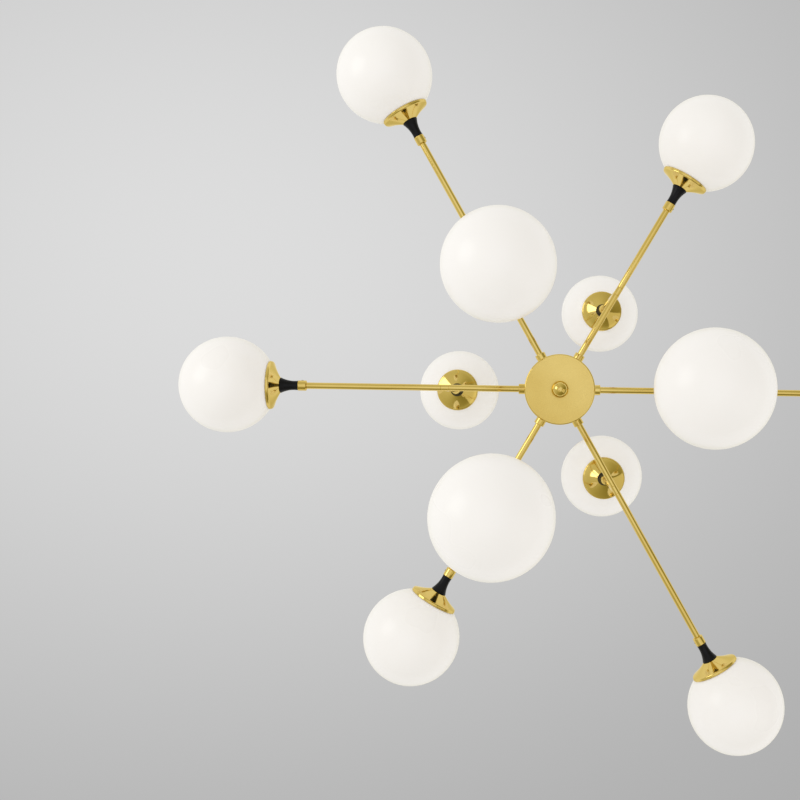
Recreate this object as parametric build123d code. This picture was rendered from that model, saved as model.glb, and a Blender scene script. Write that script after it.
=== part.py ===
from build123d import *
import os
from math import cos, radians, sin, sqrt

# A pendant light: twelve opal globes on brass tubes around a round hub, hung by a rod from the ceiling.
# Millimetres, +Z up. The origin is the middle of the canopy's rim, on the ceiling.
# Six level arms leave the hub at equal angles and end in a globe each. A tee on every arm carries an
# upright stem with a second globe, standing up and hanging down in turn.

# Hanging height: ceiling to the level of the arms
DROP = 760.0

# Tubes
TUBE_D = 10.0
TUBE_WALL = 1.0
TUBE_GRIP = 7.0
ARM_PITCH = 60.0
TEE_RADIUS = 180.0
ARM_SHORT = 142.0
ARM_MEDIUM = 211.0
ARM_LONG = 257.0
STEM_SHORT = 224.0
STEM_MEDIUM = 286.0
STEM_LONG = 356.0
UP = 1
DOWN = -1

# One entry per arm, anticlockwise from +X: free tube beyond the tee, free tube of the stem, its direction
ARMS = [
    (ARM_MEDIUM, STEM_MEDIUM, DOWN),
    (ARM_LONG, STEM_SHORT, UP),
    (ARM_SHORT, STEM_LONG, DOWN),
    (ARM_MEDIUM, STEM_MEDIUM, UP),
    (ARM_LONG, STEM_SHORT, DOWN),
    (ARM_SHORT, STEM_LONG, UP),
]

# Tee fitting, flush with the tubes
TEE_HALF = 6.5
TEE_SPIGOT = 10.0
TEE_BORE_D = 5.5

# Lamp head: collar, black flared sleeve, saucer
COLLAR_D = 16.0
COLLAR_LENGTH = 13.0
COLLAR_CHAMFER = 0.6
GRUB_D = 3.0
GRUB_PROUD = 0.8
GRUB_SOCKET_D = 1.5
GRUB_SOCKET_DEPTH = 0.9
SLEEVE_LENGTH = 28.0
SLEEVE_NARROW_D = 15.0
SLEEVE_WIDE_D = 25.4
SLEEVE_HOLLOW = 2.2
SLEEVE_EDGE = 1.2
SAUCER_D = 75.0
SAUCER_WALL = 1.0
SAUCER_FLAT_D = 24.0
SAUCER_CONE = 12.0
SAUCER_LIP = 4.5
SAUCER_HOLLOW = 1.0
SAUCER_SHOULDER = 2.4
NIPPLE_D = 10.0
NIPPLE_BORE_D = 7.0

# Opal globe, screwed by its neck on the lampholder
GLOBE_D = 150.0
GLASS_WALL = 3.0
NECK_BORE_D = 38.2
NECK_FLARE = 4.0
NECK_TO_SAUCER = 0.7

# Lampholder and capsule bulb
HOLDER_BOSS_D = 18.0
HOLDER_THREAD_LENGTH = 6.0
HOLDER_BARREL_D = 22.0
HOLDER_BARREL_LENGTH = 28.5
HOLDER_GRIP = 9.0
BULB_D = 16.0
BULB_LENGTH = 50.0

# Hub
HUB_D = 110.0
HUB_HEIGHT = 40.0
HUB_WALL = 1.5
HUB_TOP = 2.0
HUB_EDGE = 1.0
HUB_COLLAR_LENGTH = 9.0
HUB_NUT_ACROSS = 15.0
HUB_NUT_THICK = 4.0
HUB_TUBE_END = 2.0
COVER_THICK = 3.0
COVER_SPIGOT = 2.0
COVER_BEVEL = 0.9
FINIAL_D = 26.0
FINIAL_SEAT_D = 18.0
FINIAL_WASHER_D = 20.0
FINIAL_WASHER = 1.2
STUD_D = 10.0
STUD_BORE_D = 7.0
STUD_IN_FINIAL = 10.0
TERMINAL_LENGTH = 36.0
TERMINAL_WIDTH = 16.0
TERMINAL_HEIGHT = 11.0
TERMINAL_OFFSET = 26.0
TERMINAL_POLES = 3
TERMINAL_SCREW_D = 4.0
TERMINAL_SCREW_DEPTH = 4.0

# Drop rod with its coupler on the hub
ROD_D = 12.0
ROD_WALL = 1.25
ROD_GRIP = 12.0
COUPLER_D = 26.0
COUPLER_NECK_D = 17.0
COUPLER_HEIGHT = 30.0
COUPLER_RIM = 4.0

# Hang-straight swivel: two yokes on a link with crossed pins
YOKE_D = 18.0
YOKE_BASE = 13.0
YOKE_REACH = 12.0
LINK_THICK = 8.0
LINK_SPAN = 20.0
PIN_D = 4.0
PIN_SHORT = 0.5

# Ceiling canopy and bracket
CANOPY_D = 100.0
CANOPY_DEPTH = 32.0
CANOPY_WALL = 1.2
CANOPY_ROUND = 8.0
BRACKET_LENGTH = 86.0
BRACKET_WIDTH = 22.0
BRACKET_THICK = 2.5
SCREW_SPACING = 60.0
SCREW_HOLE_D = 5.2
STUD_IN_YOKE = 10.0

# Clearances on the diameter: threads and seats, running pins, and glass over its lampholder
SEAT = 0.1
RUNNING = 0.1
PRESSED = 0.02
GLASS_PLAY = 0.6
GLOBE_GAP = 0.35

# Stations along a lamp head, from the end of the free tube outwards
SLEEVE_AT = COLLAR_LENGTH
SAUCER_AT = SLEEVE_AT + SLEEVE_LENGTH
LIP_AT = SAUCER_AT + SAUCER_CONE + SAUCER_LIP
GLOBE_R = GLOBE_D / 2
LIP_BORE_R = SAUCER_D / 2 - SAUCER_WALL
GLOBE_AT = LIP_AT + sqrt(GLOBE_R**2 - (LIP_BORE_R - GLOBE_GAP) ** 2)
NECK_R = NECK_BORE_D / 2 + GLASS_WALL
CONE_SLOPE = SAUCER_CONE / (SAUCER_D / 2 - SAUCER_FLAT_D / 2)
NECK_END_AT = (SAUCER_AT + CONE_SLOPE * (NECK_R - SAUCER_FLAT_D / 2) + SAUCER_HOLLOW + SAUCER_WALL
               + NECK_TO_SAUCER)
HOLDER_AT = SAUCER_AT + SAUCER_WALL
HOLDER_THREAD_AT = NECK_END_AT - NECK_TO_SAUCER
HOLDER_END_AT = HOLDER_THREAD_AT + HOLDER_THREAD_LENGTH + HOLDER_BARREL_LENGTH

# Levels of the hub, rod, swivel and canopy
ARM_LEVEL = -DROP
HUB_TOP_AT = ARM_LEVEL + HUB_HEIGHT / 2
COVER_AT = ARM_LEVEL - HUB_HEIGHT / 2
COVER_UNDER = COVER_AT - COVER_THICK
FINIAL_R = FINIAL_D / 2
FINIAL_AT = COVER_UNDER - FINIAL_WASHER - sqrt(FINIAL_R**2 - (FINIAL_SEAT_D / 2) ** 2)
ROD_BOTTOM_AT = HUB_TOP_AT + COUPLER_HEIGHT - ROD_GRIP
TOP_PIN_AT = -CANOPY_DEPTH - YOKE_BASE - YOKE_REACH
LOW_PIN_AT = TOP_PIN_AT - LINK_SPAN
LOW_YOKE_BASE_AT = LOW_PIN_AT - YOKE_REACH - YOKE_BASE
ROD_TOP_AT = LOW_YOKE_BASE_AT + ROD_GRIP
FROM_BASE = (Align.CENTER, Align.CENTER, Align.MIN)


def rod(diameter, length, start=0.0):
    """A round bar along local Z."""
    return Pos(0, 0, start) * Cylinder(diameter / 2, length, align=FROM_BASE)


def pipe(diameter, bore, length, start=0.0):
    """A round bar with a bore right through."""
    return rod(diameter, length, start) - rod(bore, length, start)


def turned(profile):
    """A piece turned about local Z from a profile of (radius, height) points."""
    return revolve(Plane.XZ * profile, Axis.Z)


def eased(profile, corner, radius):
    """The profile with the corner nearest a point rounded off."""
    return fillet(profile.vertices().sort_by_distance(Vector(*corner))[0], radius)


def bowed(start, end, sag):
    """An arc between two profile points, bowed by sag to the right of the way from start to end."""
    run = Vector(*end) - Vector(*start)
    side = Vector(run.Y, -run.X).normalized()
    return ThreePointArc(start, (Vector(*start) + Vector(*end)) / 2 + side * sag, end)


def tube(length, start=0.0):
    """The brass lamp tube that arms and stems are cut from."""
    return pipe(TUBE_D, TUBE_D - 2 * TUBE_WALL, length, start)


def head_collar():
    """Plain collar over the tube's end, with a tapped hole for its grub screw."""
    body = chamfer(rod(COLLAR_D, COLLAR_LENGTH).edges(), COLLAR_CHAMFER)
    screw_hole = Pos(0, 0, COLLAR_LENGTH / 2) * Rot(0, 90, 0) * rod(GRUB_D + PRESSED, COLLAR_D)
    return body - rod(TUBE_D + SEAT, COLLAR_LENGTH) - screw_hole


def grub_screw():
    """Socket screw through the collar's side, with its tip on the tube."""
    tip = (TUBE_D + SEAT) / 2
    length = COLLAR_D / 2 + GRUB_PROUD - tip
    socket = rod(GRUB_SOCKET_D, GRUB_SOCKET_DEPTH, tip + length - GRUB_SOCKET_DEPTH)
    return Pos(0, 0, COLLAR_LENGTH / 2) * Rot(0, 90, 0) * (rod(GRUB_D, length, tip) - socket)


def neck_sleeve():
    """Black sleeve that flares like a trumpet from the collar to the saucer."""
    bore = (NIPPLE_D + SEAT) / 2
    narrow = (SLEEVE_NARROW_D / 2, SLEEVE_AT)
    wide = (SLEEVE_WIDE_D / 2, SAUCER_AT)
    profile = make_face([
        Line((bore, SLEEVE_AT), narrow),
        bowed(narrow, wide, -SLEEVE_HOLLOW),
        Line(wide, (bore, SAUCER_AT)),
        Line((bore, SAUCER_AT), (bore, SLEEVE_AT)),
    ])
    return turned(eased(profile, wide, SLEEVE_EDGE))


def saucer():
    """Spun brass dish: a flat seat for the sleeve, a hollowed cone, and a straight lip round the globe."""
    bore = (NIPPLE_D + SEAT) / 2
    flat = SAUCER_FLAT_D / 2
    outer = SAUCER_D / 2
    lip_top = LIP_AT - SAUCER_LIP
    inside = SAUCER_AT + SAUCER_WALL
    shoulder = (outer, lip_top)
    inner_shoulder = (LIP_BORE_R, lip_top + SAUCER_WALL)
    profile = make_face([
        Line((bore, SAUCER_AT), (flat, SAUCER_AT)),
        bowed((flat, SAUCER_AT), shoulder, -SAUCER_HOLLOW),
        Line(shoulder, (outer, LIP_AT)),
        Line((outer, LIP_AT), (LIP_BORE_R, LIP_AT)),
        Line((LIP_BORE_R, LIP_AT), inner_shoulder),
        bowed(inner_shoulder, (flat, inside), SAUCER_HOLLOW),
        Line((flat, inside), (bore, inside)),
        Line((bore, inside), (bore, SAUCER_AT)),
    ])
    profile = eased(profile, shoulder, SAUCER_SHOULDER)
    return turned(eased(profile, inner_shoulder, SAUCER_SHOULDER - SAUCER_WALL))


def head_nipple():
    """Threaded tube that clamps collar, sleeve, saucer and lampholder together."""
    start = TUBE_GRIP
    return pipe(NIPPLE_D, NIPPLE_BORE_D, HOLDER_AT + HOLDER_GRIP - start, start)


def lampholder():
    """Lampholder: a boss on the saucer, a threaded ring for the globe's neck and a barrel for the bulb."""
    thread_d = NECK_BORE_D - GLASS_PLAY
    boss = rod(HOLDER_BOSS_D, HOLDER_THREAD_AT - HOLDER_AT, HOLDER_AT)
    ring = rod(thread_d, HOLDER_THREAD_LENGTH, HOLDER_THREAD_AT)
    barrel = rod(HOLDER_BARREL_D, HOLDER_BARREL_LENGTH, HOLDER_THREAD_AT + HOLDER_THREAD_LENGTH)
    return boss + ring + barrel - rod(NIPPLE_D + SEAT, HOLDER_GRIP, HOLDER_AT)


def bulb():
    """Capsule bulb: a straight body with a round end, seated on the lampholder's barrel."""
    radius = BULB_D / 2
    straight = HOLDER_END_AT + BULB_LENGTH - radius
    tip = (0, HOLDER_END_AT + BULB_LENGTH)
    return turned(make_face([
        Line((0, HOLDER_END_AT), (radius, HOLDER_END_AT)),
        Line((radius, HOLDER_END_AT), (radius, straight)),
        ThreePointArc((radius, straight), (radius / sqrt(2), straight + radius / sqrt(2)), tip),
        Line(tip, (0, HOLDER_END_AT)),
    ]))


def globe():
    """Blown opal globe: a hollow ball drawn out through a small flare into a short neck."""
    bore = NECK_BORE_D / 2
    inner_r = GLOBE_R - GLASS_WALL
    flare_r = NECK_R + NECK_FLARE
    flare_at = GLOBE_AT - sqrt((GLOBE_R + NECK_FLARE) ** 2 - flare_r**2)
    centre = Vector(flare_r, flare_at)
    shrink = GLOBE_R / (GLOBE_R + NECK_FLARE)
    joins = (flare_r * shrink, GLOBE_AT + (flare_at - GLOBE_AT) * shrink)
    neck_top = (NECK_R, max(flare_at, NECK_END_AT))
    halfway = (Vector(*joins) - centre).normalized() + (Vector(*neck_top) - centre).normalized()
    bend = centre + halfway.normalized() * NECK_FLARE
    mouth = GLOBE_AT - sqrt(inner_r**2 - bore**2)
    top = GLOBE_AT + GLOBE_R
    return turned(make_face([
        ThreePointArc((0, top), (GLOBE_R, GLOBE_AT), joins),
        ThreePointArc(joins, (bend.X, bend.Y), neck_top),
        Line(neck_top, (NECK_R, NECK_END_AT)),
        Line((NECK_R, NECK_END_AT), (bore, NECK_END_AT)),
        Line((bore, NECK_END_AT), (bore, mouth)),
        ThreePointArc((bore, mouth), (inner_r, GLOBE_AT), (0, top - GLASS_WALL)),
        Line((0, top - GLASS_WALL), (0, top)),
    ]))


def tee_fitting():
    """Tee flush with the tubes: a body along local X, a branch up local Z, and a spigot in each tube."""
    spigot_d = TUBE_D - 2 * TUBE_WALL - SEAT
    reach = TEE_HALF + TEE_SPIGOT
    along = Rot(0, 90, 0)
    body = along * (rod(TUBE_D, 2 * TEE_HALF, -TEE_HALF) + rod(spigot_d, 2 * reach, -reach))
    branch = rod(TUBE_D, TEE_HALF) + rod(spigot_d, reach)
    wire_way = along * rod(TEE_BORE_D, 2 * reach, -reach) + rod(TEE_BORE_D, reach)
    return body + branch - wire_way


def hub_shell():
    """Drum closed at the top, with a hole for each arm and one for the centre stud."""
    body = rod(HUB_D, HUB_HEIGHT, COVER_AT)
    body = fillet(body.edges().sort_by(Axis.Z)[-1], HUB_EDGE)
    body -= rod(HUB_D - 2 * HUB_WALL, HUB_HEIGHT - HUB_TOP, COVER_AT)
    body -= rod(STUD_D + SEAT, HUB_HEIGHT, COVER_AT)
    for index in range(len(ARMS)):
        body -= arm_frame(index) * rod(TUBE_D + SEAT, HUB_D)
    return body


def hub_cover():
    """Flat round cover with a bevelled edge and a spigot inside the drum."""
    disc = rod(HUB_D, COVER_THICK, COVER_UNDER)
    disc = chamfer(disc.edges().sort_by(Axis.Z)[0], COVER_BEVEL)
    spigot = pipe(HUB_D - 2 * HUB_WALL - SEAT, HUB_D - 4 * HUB_WALL, COVER_SPIGOT, COVER_AT)
    return disc + spigot - rod(STUD_D + SEAT, COVER_THICK, COVER_UNDER)


def finial():
    """Ball nut with a thin seat washer, screwed up the centre stud against the cover."""
    ball = Pos(0, 0, FINIAL_AT) * Sphere(FINIAL_R)
    under = COVER_UNDER - FINIAL_WASHER
    ball -= rod(FINIAL_D, FINIAL_D, under)
    washer = rod(FINIAL_WASHER_D, FINIAL_WASHER, under)
    return ball + washer - rod(STUD_D + SEAT, STUD_IN_FINIAL, COVER_UNDER - STUD_IN_FINIAL)


def centre_stud():
    """Threaded tube from the rod's coupler down to the finial."""
    bottom = COVER_UNDER - STUD_IN_FINIAL
    return pipe(STUD_D, STUD_BORE_D, ROD_BOTTOM_AT - bottom, bottom)


def hub_collar():
    """Collar round an arm where it enters the drum, hollowed to the drum's side."""
    ring = pipe(COLLAR_D, TUBE_D + SEAT, HUB_COLLAR_LENGTH + HUB_D / 2)
    ring = chamfer(ring.edges().filter_by(GeomType.CIRCLE).sort_by(SortBy.RADIUS)[-2:], COLLAR_CHAMFER)
    return ring - Rot(90, 0, 0) * Cylinder(HUB_D / 2, HUB_HEIGHT)


def hub_nut():
    """Hexagon nut that pulls an arm against the drum from inside."""
    seat = HUB_D / 2 - HUB_WALL
    flat_seat = sqrt(seat**2 - (HUB_NUT_ACROSS / sqrt(3)) ** 2)
    hexagon = RegularPolygon(HUB_NUT_ACROSS / 2, 6, major_radius=False)
    block = Pos(0, 0, flat_seat - HUB_NUT_THICK) * extrude(hexagon, HUB_NUT_THICK)
    return block - rod(TUBE_D + SEAT, HUB_D)


def terminal_block():
    """Screw terminal strip under the drum's top, where the twelve leads meet the supply."""
    top = HUB_TOP_AT - HUB_TOP
    size = (TERMINAL_LENGTH, TERMINAL_WIDTH, TERMINAL_HEIGHT)
    block = Pos(0, TERMINAL_OFFSET, top - TERMINAL_HEIGHT / 2) * Box(*size)
    pitch = TERMINAL_LENGTH / TERMINAL_POLES
    for pole in range(TERMINAL_POLES):
        across = (pole - (TERMINAL_POLES - 1) / 2) * pitch
        screw_well = rod(TERMINAL_SCREW_D, TERMINAL_SCREW_DEPTH, top - TERMINAL_HEIGHT)
        block -= Pos(across, TERMINAL_OFFSET, 0) * screw_well
    return block


def rod_coupler():
    """Turned coupler that joins the drop rod to the stud and stands on the drum."""
    foot = COUPLER_D / 2
    neck = COUPLER_NECK_D / 2
    rim = (foot, HUB_TOP_AT + COUPLER_RIM)
    top = HUB_TOP_AT + COUPLER_HEIGHT
    body = turned(make_face([
        Line((0, HUB_TOP_AT), (foot, HUB_TOP_AT)),
        Line((foot, HUB_TOP_AT), rim),
        bowed(rim, (neck, top), -(foot - neck) / 2),
        Line((neck, top), (0, top)),
        Line((0, top), (0, HUB_TOP_AT)),
    ]))
    body -= rod(ROD_D + SEAT, ROD_GRIP, ROD_BOTTOM_AT)
    return body - rod(STUD_D + SEAT, COUPLER_HEIGHT, HUB_TOP_AT)


def drop_rod():
    """Tube between the swivel and the hub."""
    return pipe(ROD_D, ROD_D - 2 * ROD_WALL, ROD_TOP_AT - ROD_BOTTOM_AT, ROD_BOTTOM_AT)


def yoke():
    """Yoke with its base on local Z = 0 and two round-ended ears, drilled across along local X."""
    pin_at = YOKE_BASE + YOKE_REACH
    ear_r = YOKE_D / 2
    blank = rod(YOKE_D, pin_at + ear_r)
    ear_end = Pos(0, 0, pin_at) * Rot(0, 90, 0) * Cylinder(ear_r, YOKE_D)
    keep = Box(YOKE_D, YOKE_D, pin_at, align=FROM_BASE) + ear_end
    gap = LINK_THICK + 2 * RUNNING
    slot = Pos(0, 0, YOKE_BASE) * Box(gap, YOKE_D, pin_at + ear_r, align=FROM_BASE)
    pin_hole = Pos(0, 0, pin_at) * Rot(0, 90, 0) * Cylinder((PIN_D + RUNNING) / 2, YOKE_D)
    return (blank & keep) - slot - pin_hole


def top_yoke():
    """Yoke screwed on the canopy's stud, with ears hanging down either side of the link."""
    body = Pos(0, 0, -CANOPY_DEPTH) * Rot(180, 0, 0) * yoke()
    return body - rod(STUD_D + SEAT, STUD_IN_YOKE, -CANOPY_DEPTH - STUD_IN_YOKE)


def low_yoke():
    """Yoke on the drop rod, turned a quarter so that its pin crosses the upper one."""
    body = Pos(0, 0, LOW_YOKE_BASE_AT) * Rot(0, 0, 90) * yoke()
    return body - rod(ROD_D + SEAT, ROD_GRIP, LOW_YOKE_BASE_AT)


def swivel_link():
    """Square link, rounded about each pin, with two crossed pin holes."""
    bar = Pos(0, 0, LOW_PIN_AT) * Box(LINK_THICK, LINK_THICK, LINK_SPAN, align=FROM_BASE)
    top_end = Pos(0, 0, TOP_PIN_AT) * Rot(0, 90, 0) * Cylinder(LINK_THICK / 2, LINK_THICK)
    low_end = Pos(0, 0, LOW_PIN_AT) * Rot(90, 0, 0) * Cylinder(LINK_THICK / 2, LINK_THICK)
    top_hole = Pos(0, 0, TOP_PIN_AT) * Rot(0, 90, 0) * Cylinder((PIN_D + PRESSED) / 2, LINK_THICK)
    low_hole = Pos(0, 0, LOW_PIN_AT) * Rot(90, 0, 0) * Cylinder((PIN_D + PRESSED) / 2, LINK_THICK)
    return bar + top_end + low_end - top_hole - low_hole


def swivel_pins():
    """The two crossed pins, a little short of the yokes' sides."""
    length = YOKE_D - 2 * PIN_SHORT
    top_pin = Pos(0, 0, TOP_PIN_AT) * Rot(0, 90, 0) * Cylinder(PIN_D / 2, length)
    low_pin = Pos(0, 0, LOW_PIN_AT) * Rot(90, 0, 0) * Cylinder(PIN_D / 2, length)
    return [top_pin, low_pin]


def ceiling_canopy():
    """Round cup against the ceiling, with a rolled lower edge."""
    cup = rod(CANOPY_D, CANOPY_DEPTH, -CANOPY_DEPTH)
    cup = fillet(cup.edges().sort_by(Axis.Z)[0], CANOPY_ROUND)
    hollow = rod(CANOPY_D - 2 * CANOPY_WALL, CANOPY_DEPTH - CANOPY_WALL, CANOPY_WALL - CANOPY_DEPTH)
    hollow = fillet(hollow.edges().sort_by(Axis.Z)[0], CANOPY_ROUND - CANOPY_WALL)
    return cup - hollow - rod(STUD_D + SEAT, CANOPY_WALL, -CANOPY_DEPTH)


def mounting_bracket():
    """Steel bar with round ends, two ceiling screw holes and a tapped hole for the stud."""
    outline = SlotOverall(BRACKET_LENGTH, BRACKET_WIDTH)
    bar = extrude(outline, -BRACKET_THICK)
    for side in (-1, 1):
        bar -= Pos(side * SCREW_SPACING / 2, 0, 0) * rod(SCREW_HOLE_D, BRACKET_THICK, -BRACKET_THICK)
    return bar - rod(STUD_D + SEAT, BRACKET_THICK, -BRACKET_THICK)


def hanger_stud():
    """Threaded tube from the bracket through the canopy into the top yoke."""
    bottom = -CANOPY_DEPTH - STUD_IN_YOKE
    return pipe(STUD_D, STUD_BORE_D, -bottom, bottom)


def arm_frame(index):
    """Local Z runs out along the arm from the hub's axis, local X to its left as seen from above."""
    turn = radians(index * ARM_PITCH)
    outwards = (cos(turn), sin(turn), 0)
    return Plane((0, 0, ARM_LEVEL), x_dir=(-sin(turn), cos(turn), 0), z_dir=outwards).location


def stem_frame(index):
    """Local Z runs along the stem from the arm's axis, local X away from the hub."""
    turn = radians(index * ARM_PITCH)
    outwards = (cos(turn), sin(turn), 0)
    foot = (TEE_RADIUS * cos(turn), TEE_RADIUS * sin(turn), ARM_LEVEL)
    return Plane(foot, x_dir=outwards, z_dir=(0, 0, ARMS[index][2])).location


def save(shape, node):
    """Writes one node, a piece or a list of pieces, named as it is."""
    if isinstance(shape, list):
        shape = Compound(children=[solid for piece in shape for solid in piece.solids()])
    export_step(shape, f"parts/{node}.step")


os.makedirs("parts", exist_ok=True)

# The six inner arms are alike, and so are their tees, collars and nuts
arms = range(len(ARMS))
inner_start = HUB_D / 2 - HUB_WALL - HUB_NUT_THICK - HUB_TUBE_END
inner_arm = tube(TEE_RADIUS - TEE_HALF - inner_start, inner_start)
save([arm_frame(index) * inner_arm for index in arms], "inner_arms")
save([stem_frame(index) * tee_fitting() for index in arms], "tee_fittings")
save([arm_frame(index) * hub_collar() for index in arms], "hub_collars")
save([arm_frame(index) * hub_nut() for index in arms], "hub_nuts")

# Outer arms and stems, with the place of the lamp head at the end of each
heads = {}
for index, (arm_length, stem_length, _) in enumerate(ARMS):
    number = index + 1
    arm_foot = TEE_RADIUS + TEE_HALF
    save(arm_frame(index) * tube(arm_length + TUBE_GRIP, arm_foot), f"outer_arm_{number}")
    heads[f"arm_{number}"] = arm_frame(index) * Pos(0, 0, arm_foot + arm_length)
    save(stem_frame(index) * tube(stem_length + TUBE_GRIP, TEE_HALF), f"stem_{number}")
    heads[f"stem_{number}"] = stem_frame(index) * Pos(0, 0, TEE_HALF + stem_length)

# Twelve lamp heads
places = heads.values()
for name, place in heads.items():
    save(place * globe(), f"globe_{name}")
    save(place * saucer(), f"saucer_{name}")
save([place * head_collar() for place in places], "head_collars")
save([place * grub_screw() for place in places], "grub_screws")
save([place * neck_sleeve() for place in places], "neck_sleeves")
save([place * head_nipple() for place in places], "head_nipples")
save([place * lampholder() for place in places], "lampholders")
save([place * bulb() for place in places], "bulbs")

# Hub, rod, swivel and ceiling fitting
save(hub_shell(), "hub_shell")
save(hub_cover(), "hub_cover")
save(finial(), "finial")
save(centre_stud(), "centre_stud")
save(terminal_block(), "terminal_block")
save(rod_coupler(), "rod_coupler")
save(drop_rod(), "drop_rod")
save(low_yoke(), "swivel_low_yoke")
save(swivel_link(), "swivel_link")
save(swivel_pins(), "swivel_pins")
save(top_yoke(), "swivel_top_yoke")
save(ceiling_canopy(), "ceiling_canopy")
save(mounting_bracket(), "mounting_bracket")
save(hanger_stud(), "hanger_stud")
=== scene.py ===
from math import radians, sqrt

import bpy
import numpy as np
from mathutils import Matrix, Vector


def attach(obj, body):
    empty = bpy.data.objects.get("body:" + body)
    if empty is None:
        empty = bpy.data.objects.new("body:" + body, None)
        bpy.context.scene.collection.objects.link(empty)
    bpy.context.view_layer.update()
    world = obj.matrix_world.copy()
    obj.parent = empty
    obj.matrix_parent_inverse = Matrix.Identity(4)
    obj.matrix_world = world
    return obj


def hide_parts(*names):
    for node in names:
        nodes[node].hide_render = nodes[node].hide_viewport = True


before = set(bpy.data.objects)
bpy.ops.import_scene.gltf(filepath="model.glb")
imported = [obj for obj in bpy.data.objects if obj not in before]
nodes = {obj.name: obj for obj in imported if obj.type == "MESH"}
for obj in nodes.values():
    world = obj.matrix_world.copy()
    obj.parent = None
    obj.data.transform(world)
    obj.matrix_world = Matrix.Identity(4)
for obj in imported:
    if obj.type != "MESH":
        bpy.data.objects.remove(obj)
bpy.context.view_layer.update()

# Sizes in millimetres, those of the solids but for the cover's round edge, the hems, the threads, the bulbs'
# step and the eased edges, which are finer here. Radii end in R, places along an axis in AT
MM = 0.001
LEVEL = -760.0

# Tubes and tees
ARM_PITCH = 60.0
TEE_RADIUS = 180.0
TEE_HALF = 6.5
TUBE_R = 5.0
TUBE_BORE_R = 4.0
TUBE_GRIP = 7.0
NIPPLE_R = 5.0
SEAT = 0.05

# Lamp head: collar with its screw, black flared sleeve, saucer
COLLAR_R = 8.0
COLLAR_LENGTH = 13.0
COLLAR_CHAMFER = 0.6
SCREW_R = 1.5
SCREW_PROUD = 0.8
SCREW_EDGE = 0.25
SOCKET_R = 0.75
SOCKET_DEPTH = 0.9
SOCKET_TAPER = 0.05
SLEEVE_LENGTH = 28.0
SLEEVE_NARROW_R = 7.5
SLEEVE_WIDE_R = 12.7
SLEEVE_HOLLOW = 2.2
SLEEVE_EDGE = 1.2
SAUCER_R = 37.5
SAUCER_WALL = 1.0
SAUCER_FLAT_R = 12.0
SAUCER_CONE = 12.0
SAUCER_LIP = 4.5
SAUCER_HOLLOW = 1.0
SAUCER_SHOULDER = 2.4
HEM_WIDTH = 1.7
HEM_PROUD = 0.45
HEM_STEP = 0.3
HEM_ROUND = 0.6
LIP_EDGE = 0.35

# Globe with its neck
GLOBE_R = 75.0
GLOBE_GAP = 0.35
GLASS = 3.0
NECK_BORE_R = 19.1
NECK_FLARE = 4.0
NECK_TO_SAUCER = 0.7
NECK_RIM = 0.8
NECK_MOUTH = 0.3
NECK_LAND = 1.0
NECK_RUN_OUT = 0.5
NECK_THREAD = 0.12
NECK_ROWS = 25
THREAD_PITCH = 1.9

# Lampholder and capsule bulb
RING_R = 18.5
RING_LENGTH = 6.0
RING_BEVEL = 0.5
RING_STEP = 0.6
RING_THREAD = 0.28
RING_ROWS = 36
HOLDER_BOSS_R = 9.0
HOLDER_BARREL_R = 11.0
HOLDER_BARREL_LENGTH = 28.5
HOLDER_ROUND = 0.8
HOLDER_GRIP = 9.0
BULB_R = 8.0
BULB_LENGTH = 50.0
BULB_BASE = 7.0
BULB_STEP = 0.5

# Hub with its cover, finial and collars
HUB_R = 55.0
HUB_HEIGHT = 40.0
HUB_WALL = 1.5
HUB_TOP = 2.0
HUB_EDGE = 1.0
HUB_LOW_EDGE = 0.25
HUB_COLLAR_LENGTH = 9.0
HUB_NUT_THICK = 4.0
HUB_TUBE_END = 2.0
COVER_THICK = 3.0
COVER_ROUND = 2.0
COVER_SPIGOT = 2.0
FINIAL_R = 13.0
FINIAL_SEAT_R = 9.0
FINIAL_WASHER_R = 10.0
FINIAL_WASHER = 1.2
STUD_IN_FINIAL = 10.0

# Rod, coupler and canopy
CANOPY_R = 50.0
CANOPY_DEPTH = 32.0
CANOPY_WALL = 1.2
CANOPY_ROUND = 8.0
ROD_R = 6.0
ROD_BORE_R = 4.75
ROD_GRIP = 12.0
ROD_TOP_AT = -90.0
COUPLER_R = 13.0
COUPLER_NECK_R = 8.5
COUPLER_HEIGHT = 30.0
COUPLER_RIM = 4.0

# Rounding of the edges of cut tube and sheet, of a collar's bevels, and of turned pieces
CUT_EDGE = 0.3
BEVEL_EDGE = 0.5
TURNED_EDGE = 0.4

# Free tube beyond the tee, free tube of the stem and its direction, anticlockwise from +X
UP = 1.0
DOWN = -1.0
ARMS = [
    (211.0, 286.0, DOWN),
    (257.0, 224.0, UP),
    (142.0, 356.0, DOWN),
    (211.0, 286.0, UP),
    (257.0, 224.0, DOWN),
    (142.0, 356.0, UP),
]

# Bores that take a tube, a nipple or stud, and the rod
TUBE_SEAT_R = TUBE_R + SEAT
NIPPLE_SEAT_R = NIPPLE_R + SEAT
ROD_SEAT_R = ROD_R + SEAT

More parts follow.
